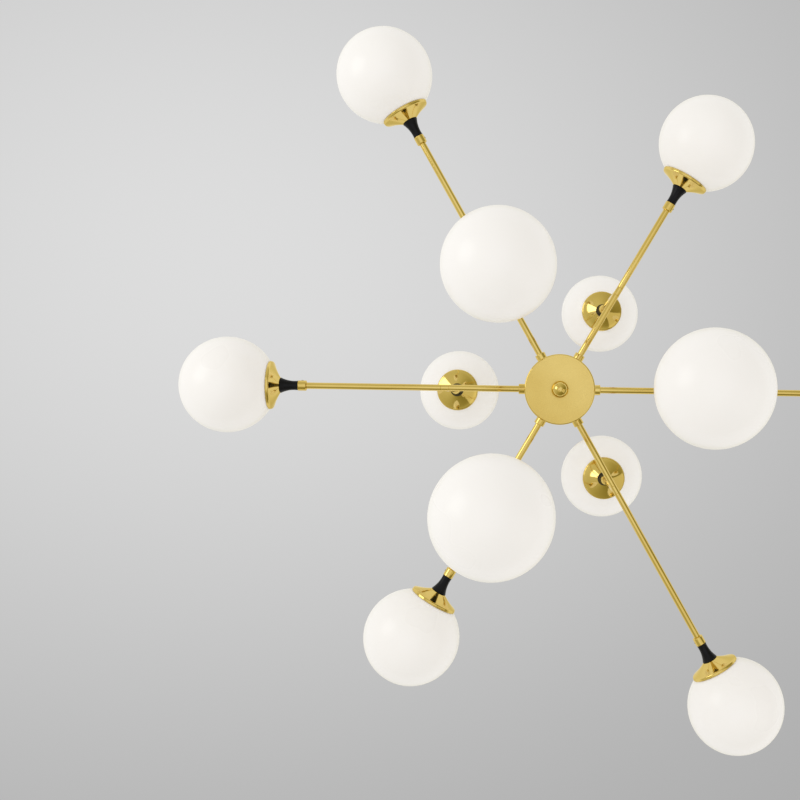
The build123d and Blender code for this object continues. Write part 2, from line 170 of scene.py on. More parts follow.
# Stations along a lamp head, from the end of the free tube outwards
SAUCER_AT = COLLAR_LENGTH + SLEEVE_LENGTH
SHOULDER_AT = SAUCER_AT + SAUCER_CONE
LIP_AT = SHOULDER_AT + SAUCER_LIP
LIP_BORE_R = SAUCER_R - SAUCER_WALL
GLOBE_AT = LIP_AT + sqrt(GLOBE_R**2 - (LIP_BORE_R - GLOBE_GAP) ** 2)
NECK_R = NECK_BORE_R + GLASS
CONE_SLOPE = SAUCER_CONE / (SAUCER_R - SAUCER_FLAT_R)
HOLDER_AT = SAUCER_AT + SAUCER_WALL
RING_AT = HOLDER_AT + CONE_SLOPE * (NECK_R - SAUCER_FLAT_R) + SAUCER_HOLLOW
RING_END_AT = RING_AT + RING_LENGTH
NECK_END_AT = RING_AT + NECK_TO_SAUCER
HOLDER_END_AT = RING_END_AT + HOLDER_BARREL_LENGTH

# Levels of the hub and rod
HUB_BORE_R = HUB_R - HUB_WALL
HUB_TOP_AT = LEVEL + HUB_HEIGHT / 2
HUB_LOW_AT = LEVEL - HUB_HEIGHT / 2
COVER_UNDER_AT = HUB_LOW_AT - COVER_THICK
FINIAL_UNDER_AT = COVER_UNDER_AT - FINIAL_WASHER
FINIAL_AT = FINIAL_UNDER_AT - sqrt(FINIAL_R**2 - FINIAL_SEAT_R**2)
STUD_END_AT = COVER_UNDER_AT - STUD_IN_FINIAL
COUPLER_TOP_AT = HUB_TOP_AT + COUPLER_HEIGHT
ROD_LOW_AT = COUPLER_TOP_AT - ROD_GRIP

# Points nearer than this are one, and creases sharper than this stay sharp
WELD = 0.0002
CREASE = radians(32)


# Geometry: every surface is a grid of points, worked out whole


def arc(centre, radius, start, end, steps):
    """Points (radius, height) on a circle about centre, from one angle to another, in degrees."""
    angle = np.radians(np.linspace(start, end, steps + 1))
    return np.array(centre) + radius * np.stack([np.cos(angle), np.sin(angle)], axis=1)


def bowed(start, end, sag, stop, steps=24):
    """Points on the arc that stands off the chord between two places by sag, to the right of the way, up to
    the share stop of it."""
    start, end = np.array(start), np.array(end)
    run = end - start
    side = np.array([run[1], -run[0]]) / np.hypot(*run)
    half = 2 * np.arctan(2 * abs(sag) / np.hypot(*run))
    along = np.linspace(-1, 2 * stop - 1, steps + 1)[:, None]
    across = (np.cos(half * along) - np.cos(half)) / (1 - np.cos(half))
    points = (start + end) / 2 + run / 2 * np.sin(half * along) / np.sin(half) + side * sag * across
    return [tuple(point) for point in points]


def rounded(corners, steps=5):
    """A closed profile from (radius, height, rounding) corners, each eased by an arc of its rounding. The
    arc's centre lies on the line that halves the corner, at the rounding over the sine of half the corner."""
    place = np.array([corner[:2] for corner in corners])
    ease = np.array([corner[2] if len(corner) > 2 else 0.0 for corner in corners])
    back = np.roll(place, 1, axis=0) - place
    ahead = np.roll(place, -1, axis=0) - place
    back /= np.linalg.norm(back, axis=1)[:, None]
    ahead /= np.linalg.norm(ahead, axis=1)[:, None]
    half = np.arccos(np.clip(np.sum(back * ahead, axis=1), -1, 1)) / 2
    half = np.clip(half, 1e-3, np.pi / 2 - 1e-6)
    middle = back + ahead
    middle /= np.maximum(np.linalg.norm(middle, axis=1), 1e-12)[:, None]
    centre = place + middle * (ease / np.sin(half))[:, None]
    first = place + back * (ease / np.tan(half))[:, None] - centre
    last = place + ahead * (ease / np.tan(half))[:, None] - centre
    sweep = (np.pi - 2 * half)[:, None, None]
    share = np.linspace(0, 1, steps + 1)[None, :, None]
    bend = np.sin((1 - share) * sweep) * first[:, None] + np.sin(share * sweep) * last[:, None]
    points = centre[:, None] + bend / np.sin(sweep)
    keep = np.repeat((ease > 0)[:, None], steps + 1, axis=1)
    keep[:, 0] = True
    points = np.where((ease > 0)[:, None, None], points, place[:, None])
    profile = points[keep]
    return np.vstack([profile, profile[:1]])


def turned(profile, turns=96, swell=0.0):
    """Surface of revolution of (radius, height) points about local Z, with swell added to the radius."""
    angle = np.linspace(0, 2 * np.pi, turns + 1)
    radius = profile[:, :1] + swell
    x = radius * np.cos(angle)
    y = radius * np.sin(angle)
    return np.stack([x, y, np.broadcast_to(profile[:, 1:], x.shape)], axis=-1)


def threaded(profile, inside, depth, turns):
    """Surface of revolution with a screw thread on some rows: the radius gains depth times a cosine of the
    height over the pitch, less the turn."""
    angle = np.linspace(0, 2 * np.pi, turns + 1)
    wave = np.cos(2 * np.pi * profile[:, 1:] / THREAD_PITCH - angle)
    return turned(profile, turns, np.where(inside[:, None], depth * wave, 0.0))


def frame_at(origin, along, across):
    """A place: local Z runs along, local X across."""
    along, across = np.array(along), np.array(across)
    return np.array(origin), np.stack([across, np.cross(along, across), along])


def moved(place, distance):
    """The same place, further along its local Z."""
    origin, axes = place
    return origin + axes[2] * distance, axes


def placed(grid, place):
    """Grid points carried from a piece's own frame to its place, in metres."""
    origin, axes = place
    return (origin + grid @ axes) * MM


def corners_of(grid):
    """The four corners of every cell of a grid, in the order that faces outwards."""
    return np.stack([grid[:-1, :-1], grid[:-1, 1:], grid[1:, 1:], grid[1:, :-1]], axis=2)


def skin(grids):
    """Points, faces and face coordinates of grids, joined where points meet and closed at poles. The
    coordinates are the share of the turn and the length along the profile in metres."""
    points = np.concatenate([grid.reshape(-1, 3) for grid in grids])
    keys = np.round(points / (WELD * MM)).astype(np.int64)
    _, first, joined = np.unique(keys, axis=0, return_index=True, return_inverse=True)
    joined = joined.ravel()
    faces, charts, start = [], [], 0
    for grid in grids:
        rows, columns = grid.shape[:2]
        ids = joined[start:start + rows * columns].reshape(rows, columns)
        start += rows * columns
        step = np.linalg.norm(np.diff(grid[:, 0], axis=0), axis=1)
        length = np.concatenate([[0], np.cumsum(step)])
        chart = np.stack(np.meshgrid(np.linspace(0, 1, columns), length), axis=-1)
        faces.append(corners_of(ids).reshape(-1, 4))
        charts.append(corners_of(chart).reshape(-1, 4, 2))
    faces, charts = np.concatenate(faces), np.concatenate(charts)
    flat = (faces[:, 0] == faces[:, 3]) & (faces[:, 1] == faces[:, 2])
    low_pole = (faces[:, 0] == faces[:, 1]) & ~flat
    high_pole = (faces[:, 2] == faces[:, 3]) & ~flat
    full = ~(low_pole | high_pole | flat)
    parts = [(faces[full], charts[full]),
             (faces[low_pole][:, [0, 2, 3]], charts[low_pole][:, [0, 2, 3]]),
             (faces[high_pole][:, [0, 1, 2]], charts[high_pole][:, [0, 1, 2]])]
    listed = [face for part, _ in parts for face in part.tolist()]
    return points[first], listed, np.concatenate([chart.reshape(-1, 2) for _, chart in parts])


def piece(name, grids, body, replaced, material):
    """One mesh from grids of points, riding on a body in place of CAD nodes."""
    points, faces, chart = skin(grids)
    mesh = bpy.data.meshes.new(name)
    mesh.from_pydata(points.tolist(), [], faces)
    mesh.uv_layers.new(name="UVMap").data.foreach_set("uv", chart.ravel())
    mesh.shade_smooth()
    mesh.set_sharp_from_angle(angle=CREASE)
    mesh.materials.append(material)
    obj = bpy.data.objects.new(name, mesh)
    bpy.context.scene.collection.objects.link(obj)
    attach(obj, body)
    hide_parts(*replaced)
    return obj


# Materials


class Finish:
    """A Principled material whose colour, roughness and bump come from noise on the object or its chart."""

    def __init__(self, name, **sockets):
        self.material = bpy.data.materials.new(name)
        self.material.use_nodes = True
        self.tree = self.material.node_tree
        self.shader = self.tree.nodes["Principled BSDF"]
        for socket, value in sockets.items():
            self.shader.inputs[socket.replace("_", " ")].default_value = value

    def noise(self, scale, detail, source="Object", stretch=(1, 1, 1)):
        """A noise value, on object coordinates in metres or on the chart."""
        place = self.tree.nodes.new("ShaderNodeTexCoord")
        spread = self.tree.nodes.new("ShaderNodeMapping")
        spread.inputs["Scale"].default_value = stretch
        texture = self.tree.nodes.new("ShaderNodeTexNoise")
        texture.inputs["Scale"].default_value = scale
        texture.inputs["Detail"].default_value = detail
        self.tree.links.new(place.outputs[source], spread.inputs["Vector"])
        self.tree.links.new(spread.outputs["Vector"], texture.inputs["Vector"])
        return texture.outputs["Fac"]

    def colour(self, value, dark, light, low=0.35, high=0.65):
        """Base colour between two colours as a value goes from low to high."""
        ramp = self.tree.nodes.new("ShaderNodeValToRGB")
        ramp.color_ramp.elements[0].position = low
        ramp.color_ramp.elements[1].position = high
        ramp.color_ramp.elements[0].color = (*dark, 1)
        ramp.color_ramp.elements[1].color = (*light, 1)
        self.tree.links.new(value, ramp.inputs["Fac"])
        self.tree.links.new(ramp.outputs["Color"], self.shader.inputs["Base Color"])

    def spread(self, value, low, high, at_low, at_high):
        """A value carried from one span to another, and no further."""
        ramp = self.tree.nodes.new("ShaderNodeMapRange")
        ramp.inputs["From Min"].default_value = low
        ramp.inputs["From Max"].default_value = high
        ramp.inputs["To Min"].default_value = at_low
        ramp.inputs["To Max"].default_value = at_high
        self.tree.links.new(value, ramp.inputs["Value"])
        return ramp.outputs["Result"]

    def roughness(self, value, gloss, low=0.3, high=0.7):
        """Roughness between the two limits of the gloss as a value goes from low to high."""
        haze = self.spread(value, low, high, *gloss)
        self.tree.links.new(haze, self.shader.inputs["Roughness"])
        return haze

    def polished_rim(self, haze, radius, width, share):
        """The roughness falls to a share of itself beyond a radius about the object's Z axis."""
        place = self.tree.nodes.new("ShaderNodeTexCoord")
        flat = self.tree.nodes.new("ShaderNodeVectorMath")
        flat.operation = "MULTIPLY"
        flat.inputs[1].default_value = (1, 1, 0)
        away = self.tree.nodes.new("ShaderNodeVectorMath")
        away.operation = "LENGTH"
        product = self.tree.nodes.new("ShaderNodeMath")
        product.operation = "MULTIPLY"
        self.tree.links.new(place.outputs["Object"], flat.inputs[0])
        self.tree.links.new(flat.outputs["Vector"], away.inputs[0])
        fall = self.spread(away.outputs["Value"], radius, radius + width, 1.0, share)
        self.tree.links.new(haze, product.inputs[0])
        self.tree.links.new(fall, product.inputs[1])
        self.tree.links.new(product.outputs["Value"], self.shader.inputs["Roughness"])

    def bump(self, value, depth, strength):
        """Relief of a depth in metres."""
        relief = self.tree.nodes.new("ShaderNodeBump")
        relief.inputs["Distance"].default_value = depth
        relief.inputs["Strength"].default_value = strength
        self.tree.links.new(value, relief.inputs["Height"])
        self.tree.links.new(relief.outputs["Normal"], self.shader.inputs["Normal"])


BRASS_DARK = (0.715, 0.528, 0.162)
BRASS_LIGHT = (0.795, 0.608, 0.212)
LACQUER_TINT = (1.0, 0.93, 0.70, 1.0)
DRAWING_DEPTH = 0.02


def brass(name, gloss, lines, stretch, relief, rim=None):
    """Lacquered brass: slow drifts of tone, a finer haze in the gloss and drawing lines, both stretched on
    the chart, and at choice a bright rim given by its radius, width and share of the roughness."""
    finish = Finish(name, Metallic=1.0, Specular_Tint=LACQUER_TINT)
    finish.colour(finish.noise(scale=9.0, detail=3.0), BRASS_DARK, BRASS_LIGHT)
    haze = finish.roughness(finish.noise(lines, 5.0, "UV", stretch), gloss)
    if rim:
        finish.polished_rim(haze, *rim)
    finish.bump(finish.noise(lines, 3.0, "UV", stretch), DRAWING_DEPTH * MM, relief)
    return finish.material


def mottled(name, dark, light, tone, gloss, haze, grain, relief, **sockets):
    """A finish with patches between two colours, a haze in its gloss and a fine grain. The noise of each is
    given by its scale and detail, and the grain's relief by its depth in millimetres and its strength."""
    finish = Finish(name, **sockets)
    finish.colour(finish.noise(*tone), dark, light)
    finish.roughness(finish.noise(*haze), gloss)
    depth, strength = relief
    finish.bump(finish.noise(*grain), depth * MM, strength)
    return finish.material


polished = brass("polished_brass", gloss=(0.05, 0.12), lines=60.0, stretch=(1.0, 30.0, 1.0), relief=0.04)
drawn = brass("drawn_brass", gloss=(0.08, 0.15), lines=40.0, stretch=(6.0, 1.0, 1.0), relief=0.10)
satin = brass("satin_brass", gloss=(0.24, 0.31), lines=30.0, stretch=(2.0, 300.0, 1.0), relief=0.05,
              rim=((HUB_R - COVER_ROUND) * MM, 0.5 * MM, 0.2))

# Opal glass, and its inner face, which glows a little: a painted glow in place of the room's light that
# reaches through the wall
OPAL = {
    "dark": (0.930, 0.906, 0.876), "light": (0.938, 0.916, 0.888), "tone": (5.0, 2.0),
    "gloss": (0.27, 0.30), "haze": (9.0, 2.0), "grain": (12.0, 1.0), "relief": (0.4, 0.008),
    "IOR": 1.5, "Specular_IOR_Level": 0.35,
}
opal = mottled("opal_glass", **OPAL)
# The inner face's faint emission is painted light, a glow that stands in for light through the glass
painted_glow_lining = mottled("opal_glass_inside_painted_glow", **OPAL, Emission_Color=(*OPAL["dark"], 1.0), Emission_Strength=0.12)

black = mottled(
    "black_enamel", dark=(0.004, 0.004, 0.006), light=(0.007, 0.007, 0.010), tone=(60.0, 4.0),
    gloss=(0.26, 0.38), haze=(300.0, 4.0), grain=(900.0, 2.0), relief=(0.1, 0.12),
    IOR=1.5, Specular_IOR_Level=0.14)
porcelain = mottled(
    "white_porcelain", dark=(0.78, 0.77, 0.73), light=(0.86, 0.85, 0.82), tone=(120.0, 4.0),
    gloss=(0.35, 0.55), haze=(500.0, 4.0), grain=(250.0, 2.0), relief=(0.04, 0.05), IOR=1.55)
frosted = mottled(
    "frosted_bulb", dark=(0.88, 0.87, 0.83), light=(0.94, 0.93, 0.90), tone=(90.0, 4.0),
    gloss=(0.35, 0.5), haze=(700.0, 4.0), grain=(200.0, 2.0), relief=(0.03, 0.04),
    IOR=1.5, Transmission_Weight=0.25)
steel = mottled(
    "zinc_steel", dark=(0.50, 0.50, 0.49), light=(0.66, 0.66, 0.64), tone=(160.0, 4.0),
    gloss=(0.28, 0.45), haze=(600.0, 4.0), grain=(900.0, 2.0), relief=(0.1, 0.1), Metallic=1.0)
plastic = mottled(
    "cream_plastic", dark=(0.72, 0.68, 0.58), light=(0.80, 0.77, 0.68), tone=(80.0, 4.0),
    gloss=(0.4, 0.55), haze=(400.0, 4.0), grain=(900.0, 2.0), relief=(0.05, 0.15), IOR=1.46)


# Places: the hub's axis, the six arms, the six stems, and a lamp head at the end of each

middle = frame_at((0, 0, 0), (0, 0, 1), (1, 0, 0))
arm_places, stem_places, heads = [], [], {}
for index, (arm_length, stem_length, way) in enumerate(ARMS):
    turn = radians(ARM_PITCH * index)
    outwards = np.array([np.cos(turn), np.sin(turn), 0.0])
    arm = frame_at((0, 0, LEVEL), outwards, (-np.sin(turn), np.cos(turn), 0.0))
    stem = frame_at(outwards * TEE_RADIUS + [0, 0, LEVEL], (0, 0, way), outwards)
    arm_places.append(arm)
    stem_places.append(stem)
    heads[f"arm_{index + 1}"] = moved(arm, TEE_RADIUS + TEE_HALF + arm_length)
    heads[f"stem_{index + 1}"] = moved(stem, TEE_HALF + stem_length)


# Tubes and tees


def tube_grid(bore, radius, start, end):
    """A length of tube with eased ends."""
    ends = [(bore, start), (radius, start, CUT_EDGE), (radius, end, CUT_EDGE), (bore, end)]
    return turned(rounded(ends), turns=64)


def tee_grids(turns=96):
    """Two tubes of one size that meet square. On the branch each line of the wall starts where its height
    over the run's axis is the tube's radius times the cosine of its turn; on the run it starts at the same
    distance from the branch's axis above, and at the middle below. Shared points close the joint, and discs
    the ends."""
    angle = np.linspace(0, 2 * np.pi, turns + 1)
    cosine, sine = np.cos(angle), np.sin(angle)
    share = np.array([0, 0.5, 1])[:, None]
    rim = np.array([[TEE_HALF, TUBE_R - CUT_EDGE], [TEE_HALF, 0]])

    def wall(start):
        height = start + (TEE_HALF - CUT_EDGE - start) * share
        height = np.vstack([height, np.broadcast_to(rim[:, :1], (2, turns + 1))])
        size = np.vstack([np.full((3, 1), TUBE_R), rim[:, 1:]])
        return height, size * cosine, size * sine

    height, x, y = wall(TUBE_R * np.abs(cosine))
    branch = np.stack([x, y, height], axis=-1)
    height, up, side = wall(TUBE_R * np.maximum(cosine, 0))
    ahead = np.stack([height, -side, up], axis=-1)
    behind = np.stack([-height, side, up], axis=-1)
    return [branch, ahead, behind]


arm_start = HUB_BORE_R - HUB_NUT_THICK - HUB_TUBE_END
inner_tube = tube_grid(TUBE_BORE_R, TUBE_R, arm_start, TEE_RADIUS - TEE_HALF)
piece("inner_arm_tubes", [placed(inner_tube, place) for place in arm_places], "fixture", ["inner_arms"],
      drawn)
piece("tee_joints", [placed(grid, place) for place in stem_places for grid in tee_grids()], "fixture",
      ["tee_fittings"], drawn)
for index, (arm_length, stem_length, _) in enumerate(ARMS):
    number = index + 1
    foot = TEE_RADIUS + TEE_HALF
    outer = tube_grid(TUBE_BORE_R, TUBE_R, foot, foot + arm_length + TUBE_GRIP)
    piece(f"outer_arm_tube_{number}", [placed(outer, arm_places[index])], "fixture",
          [f"outer_arm_{number}"], drawn)
    upright = tube_grid(TUBE_BORE_R, TUBE_R, TEE_HALF, TEE_HALF + stem_length + TUBE_GRIP)
    piece(f"stem_tube_{number}", [placed(upright, stem_places[index])], "fixture",
          [f"stem_{number}"], drawn)


# Lamp heads


def collar_grid():
    """Collar with bevelled ends and a plain bore, for the tube and then for the nipple."""
    bevel_r = COLLAR_R - COLLAR_CHAMFER
    return turned(rounded([
        (TUBE_SEAT_R, 0),
        (bevel_r, 0, CUT_EDGE),
        (COLLAR_R, COLLAR_CHAMFER, BEVEL_EDGE),
        (COLLAR_R, COLLAR_LENGTH - COLLAR_CHAMFER, BEVEL_EDGE),
        (bevel_r, COLLAR_LENGTH, CUT_EDGE),
        (TUBE_SEAT_R, COLLAR_LENGTH),
    ]), turns=72)


def screw_grid():
    """Grub screw with its tip on the tube, an eased head and a round socket that narrows a little."""
    top = COLLAR_R + SCREW_PROUD
    return turned(np.array([
        [0, TUBE_SEAT_R],
        [SCREW_R, TUBE_SEAT_R],
        [SCREW_R, top - SCREW_EDGE],
        [SCREW_R - SCREW_EDGE, top],
        [SOCKET_R + SOCKET_TAPER, top],
        [SOCKET_R, top - SOCKET_DEPTH],
        [0, top - SOCKET_DEPTH],
    ]), turns=32)


def sleeve_grid():
    """Sleeve whose side is one hollow arc from the collar to the saucer, with a rounded wide edge."""
    wide = (SLEEVE_WIDE_R, SAUCER_AT)
    return turned(rounded([
        (NIPPLE_SEAT_R, COLLAR_LENGTH),
        *bowed((SLEEVE_NARROW_R, COLLAR_LENGTH), wide, -SLEEVE_HOLLOW, stop=0.95),
        (*wide, SLEEVE_EDGE),
        (NIPPLE_SEAT_R, SAUCER_AT),
    ]))


def saucer_grid():
    """Spun dish: flat seat, cone hollowed by one arc, shoulder, straight lip with a rolled hem, and the same
    way back inside, a wall's thickness in."""
    shoulder = (SAUCER_R, SHOULDER_AT)
    inner_shoulder = (LIP_BORE_R, SHOULDER_AT + SAUCER_WALL)
    inside = bowed((SAUCER_FLAT_R, HOLDER_AT), inner_shoulder, -SAUCER_HOLLOW, stop=0.9)
    hem_r = SAUCER_R + HEM_PROUD
    hem_at = LIP_AT - HEM_WIDTH
    return turned(rounded([
        (NIPPLE_SEAT_R, SAUCER_AT),
        *bowed((SAUCER_FLAT_R, SAUCER_AT), shoulder, -SAUCER_HOLLOW, stop=0.9),
        (*shoulder, SAUCER_SHOULDER),
        (SAUCER_R, hem_at),
        (hem_r, hem_at + HEM_STEP, HEM_STEP),
        (hem_r, LIP_AT, HEM_ROUND),
        (LIP_BORE_R, LIP_AT, LIP_EDGE),
        (*inner_shoulder, SAUCER_SHOULDER - SAUCER_WALL),
        *inside[::-1],
        (NIPPLE_SEAT_R, HOLDER_AT),
    ]), turns=128)


def globe_grid():
    """Blown globe: the inner ball, the neck's bore with a shallow thread, the neck's round end, a flare whose
    circle touches the neck and the outer ball, and that ball."""
    inner_r = GLOBE_R - GLASS
    flare_r = NECK_R + NECK_FLARE
    flare_drop = sqrt((GLOBE_R + NECK_FLARE) ** 2 - flare_r**2)
    flare_tilt = np.degrees(np.arctan2(flare_drop, flare_r))
    mouth_tilt = np.degrees(np.arccos(NECK_BORE_R / inner_r))
    mouth_at = GLOBE_AT - sqrt(inner_r**2 - NECK_BORE_R**2)
    rim_at = NECK_END_AT + NECK_RIM
    bore_at = np.linspace(mouth_at - NECK_MOUTH, rim_at, NECK_ROWS)
    profile = np.vstack([
        arc((0, GLOBE_AT), inner_r, 90, -mouth_tilt, steps=60),
        np.stack([np.full(NECK_ROWS, NECK_BORE_R), bore_at], axis=1),
        arc((NECK_BORE_R + NECK_RIM, rim_at), NECK_RIM, 180, 270, steps=4)[1:],
        arc((NECK_R - NECK_RIM, rim_at), NECK_RIM, -90, 0, steps=4),
        arc((flare_r, GLOBE_AT - flare_drop), NECK_FLARE, 180, 180 - flare_tilt, steps=12),
        arc((0, GLOBE_AT), GLOBE_R, -flare_tilt, 90, steps=88)[1:],
    ])
    profile[[0, -1], 0] = 0.0
    radius, height = profile.T
    cut = (height > NECK_END_AT + NECK_LAND) & (height < mouth_at - NECK_RUN_OUT)
    return threaded(profile, (radius == NECK_BORE_R) & cut, NECK_THREAD, turns=144)


def holder_grid():
    """Lampholder: the nipple's bore, a boss on the saucer, a threaded ring with bevelled ends, and a barrel
    with a rounded end."""
    foot_r = RING_R - RING_STEP
    ring_at = np.linspace(RING_AT + RING_BEVEL, RING_END_AT - RING_BEVEL, RING_ROWS)
    bore_end_at = HOLDER_AT + HOLDER_GRIP
    end = (HOLDER_BARREL_R - HOLDER_ROUND, HOLDER_END_AT - HOLDER_ROUND)
    profile = np.vstack([
        [[0, bore_end_at], [NIPPLE_SEAT_R, bore_end_at], [NIPPLE_SEAT_R, HOLDER_AT]],
        [[HOLDER_BOSS_R - TURNED_EDGE, HOLDER_AT], [HOLDER_BOSS_R, HOLDER_AT + TURNED_EDGE]],
        [[HOLDER_BOSS_R, RING_AT], [foot_r, RING_AT]],
        np.stack([np.full(RING_ROWS, RING_R), ring_at], axis=1),
        [[foot_r, RING_END_AT], [HOLDER_BARREL_R, RING_END_AT]],
        arc(end, HOLDER_ROUND, 0, 90, steps=4),
        [[0, HOLDER_END_AT]],
    ])
    return threaded(profile, profile[:, 0] == RING_R, RING_THREAD, turns=96)


def bulb_grid():
    """Bulb: a round base and a slimmer capsule with a half ball at its end."""
    capsule_r = BULB_R - BULB_STEP
    base_at = HOLDER_END_AT + BULB_BASE
    round_at = HOLDER_END_AT + BULB_LENGTH - BULB_R
    return turned(np.vstack([
        [[0, HOLDER_END_AT], [BULB_R, HOLDER_END_AT]],
        [[BULB_R, base_at], [capsule_r, base_at + TURNED_EDGE]],
        arc((0, round_at), capsule_r, 0, 90, steps=16)[:-1],
        [[0, round_at + capsule_r]],
    ]), turns=48)


def paint_glow_inside(globe, place):
    """A globe's inward faces take the inner material with its painted glow: nearer its centre than the middle
    of the wall, or in the neck nearer its axis than that."""
    polygons = globe.data.polygons
    centres = np.empty(3 * len(polygons))
    polygons.foreach_get("center", centres)
    origin, axes = moved(place, GLOBE_AT)
    away = (centres.reshape(-1, 3) / MM - origin) @ axes.T
    in_ball = np.linalg.norm(away, axis=1) < GLOBE_R - GLASS / 2
    in_neck = (away[:, 2] < 0) & (np.hypot(away[:, 0], away[:, 1]) < NECK_R - GLASS / 2)
    globe.data.materials.append(painted_glow_lining)
    polygons.foreach_set("material_index", (in_ball | in_neck).astype(np.int32))


def on_heads(name, grid, replaced, material):
    """The same turned piece on every lamp head."""
    piece(name, [placed(grid, place) for place in heads.values()], "fixture", [replaced], material)


blown_globe = globe_grid()
spun_saucer = saucer_grid()
for name, place in heads.items():
    globe = piece(f"opal_globe_{name}", [placed(blown_globe, place)], f"globe_{name}", [f"globe_{name}"],
                  opal)
    paint_glow_inside(globe, place)
    piece(f"spun_saucer_{name}", [placed(spun_saucer, place)], "fixture", [f"saucer_{name}"],
          polished)
on_heads("tube_collars", collar_grid(), "head_collars", polished)
on_heads("flared_sleeves", sleeve_grid(), "neck_sleeves", black)
on_heads("threaded_lampholders", holder_grid(), "lampholders", porcelain)
on_heads("capsule_bulbs", bulb_grid(), "bulbs", frosted)

# Each screw stands across its collar, on the side of the head's local X
screws = []
for place in heads.values():
    origin, axes = moved(place, COLLAR_LENGTH / 2)
    screws.append(placed(screw_grid(), (origin, axes[[1, 2, 0]])))
piece("collar_screws", screws, "fixture", ["grub_screws"], steel)


# Hub


def drum_grid():
    """Drum closed at the top but for the stud's hole, open below, with a rounded upper edge."""
    under_top_at = HUB_TOP_AT - HUB_TOP
    return turned(rounded([
        (HUB_BORE_R, HUB_LOW_AT),
        (HUB_R, HUB_LOW_AT, HUB_LOW_EDGE),
        (HUB_R, HUB_TOP_AT, HUB_EDGE),
        (NIPPLE_SEAT_R, HUB_TOP_AT),
        (NIPPLE_SEAT_R, under_top_at),
        (HUB_BORE_R, under_top_at),
    ]), turns=192)


def lid_grid():
    """Flat cover with a round lower edge and a spigot inside the drum."""
    spigot_r = HUB_BORE_R - SEAT
    spigot_bore_r = HUB_BORE_R - HUB_WALL
    spigot_at = HUB_LOW_AT + COVER_SPIGOT
    return turned(rounded([
        (NIPPLE_SEAT_R, COVER_UNDER_AT),
        (HUB_R, COVER_UNDER_AT, COVER_ROUND),
        (HUB_R, HUB_LOW_AT, HUB_LOW_EDGE),
        (spigot_r, HUB_LOW_AT),
        (spigot_r, spigot_at),
        (spigot_bore_r, spigot_at),
        (spigot_bore_r, HUB_LOW_AT),
        (NIPPLE_SEAT_R, HUB_LOW_AT),
    ], steps=10), turns=192)


def finial_grid():
    """Ball cut off where its seat is, a thin washer with an eased edge, and the stud's blind hole."""
    tilt = np.degrees(np.arcsin((FINIAL_UNDER_AT - FINIAL_AT) / FINIAL_R))
    profile = np.vstack([
        arc((0, FINIAL_AT), FINIAL_R, -90, tilt, steps=56),
        [[FINIAL_WASHER_R - TURNED_EDGE, FINIAL_UNDER_AT]],
        [[FINIAL_WASHER_R, FINIAL_UNDER_AT + TURNED_EDGE], [FINIAL_WASHER_R, COVER_UNDER_AT]],
        [[NIPPLE_SEAT_R, COVER_UNDER_AT], [NIPPLE_SEAT_R, STUD_END_AT], [0, STUD_END_AT]],
    ])
    profile[0, 0] = 0.0
    return turned(profile)


def hub_collar_grid():
    """Collar whose inner end fits the drum: its distance from the drum's axis is the root of the drum's
    radius squared less the square of the place across."""
    end = HUB_R + HUB_COLLAR_LENGTH
    outline = rounded([
        (TUBE_SEAT_R, HUB_R),
        (COLLAR_R, HUB_R),
        (COLLAR_R, end - COLLAR_CHAMFER, BEVEL_EDGE),
        (COLLAR_R - COLLAR_CHAMFER, end, CUT_EDGE),
        (TUBE_SEAT_R, end),
    ])
    grid = turned(outline)
    fitted = np.sqrt(HUB_R**2 - grid[..., 0] ** 2)
    grid[..., 2] = np.where(outline[:, 1:] == HUB_R, fitted, grid[..., 2])
    return grid


piece("hub_drum", [placed(drum_grid(), middle)], "fixture", ["hub_shell"], drawn)
piece("hub_lid", [placed(lid_grid(), middle)], "fixture", ["hub_cover"], satin)
piece("ball_finial", [placed(finial_grid(), middle)], "fixture", ["finial"], polished)
piece("arm_collars", [placed(hub_collar_grid(), place) for place in arm_places], "fixture", ["hub_collars"],
      polished)


# Rod, coupler and canopy


def coupler_grid():
    """Coupler that narrows in one hollow arc from its rim to its neck, bored for the rod above and the stud
    below."""
    rim = (COUPLER_R, HUB_TOP_AT + COUPLER_RIM)
    neck = (COUPLER_NECK_R, COUPLER_TOP_AT)
    hollow = (COUPLER_R - COUPLER_NECK_R) / 2
    return turned(rounded([
        (NIPPLE_SEAT_R, HUB_TOP_AT),
        (COUPLER_R, HUB_TOP_AT, TURNED_EDGE),
        *bowed(rim, neck, -hollow, stop=0.97),
        (*neck, TURNED_EDGE),
        (ROD_SEAT_R, COUPLER_TOP_AT),
        (ROD_SEAT_R, ROD_LOW_AT),
        (NIPPLE_SEAT_R, ROD_LOW_AT),
    ]))


def canopy_grid():
    """Cup against the ceiling with a round lower edge, the same inside, and a hole for the stud."""
    bore_r = CANOPY_R - CANOPY_WALL
    floor_at = CANOPY_WALL - CANOPY_DEPTH
    return turned(rounded([
        (NIPPLE_SEAT_R, -CANOPY_DEPTH),
        (CANOPY_R, -CANOPY_DEPTH, CANOPY_ROUND),
        (CANOPY_R, 0, CUT_EDGE),
        (bore_r, 0, CUT_EDGE),
        (bore_r, floor_at, CANOPY_ROUND - CANOPY_WALL),
        (NIPPLE_SEAT_R, floor_at),
    ], steps=12), turns=192)


drop_rod = tube_grid(ROD_BORE_R, ROD_R, ROD_LOW_AT, ROD_TOP_AT)
piece("drop_rod_tube", [placed(drop_rod, middle)], "fixture", ["drop_rod"], drawn)
piece("turned_coupler", [placed(coupler_grid(), middle)], "fixture", ["rod_coupler"], drawn)
piece("canopy_cup", [placed(canopy_grid(), middle)], "ceiling_mount", ["ceiling_canopy"],
      drawn)

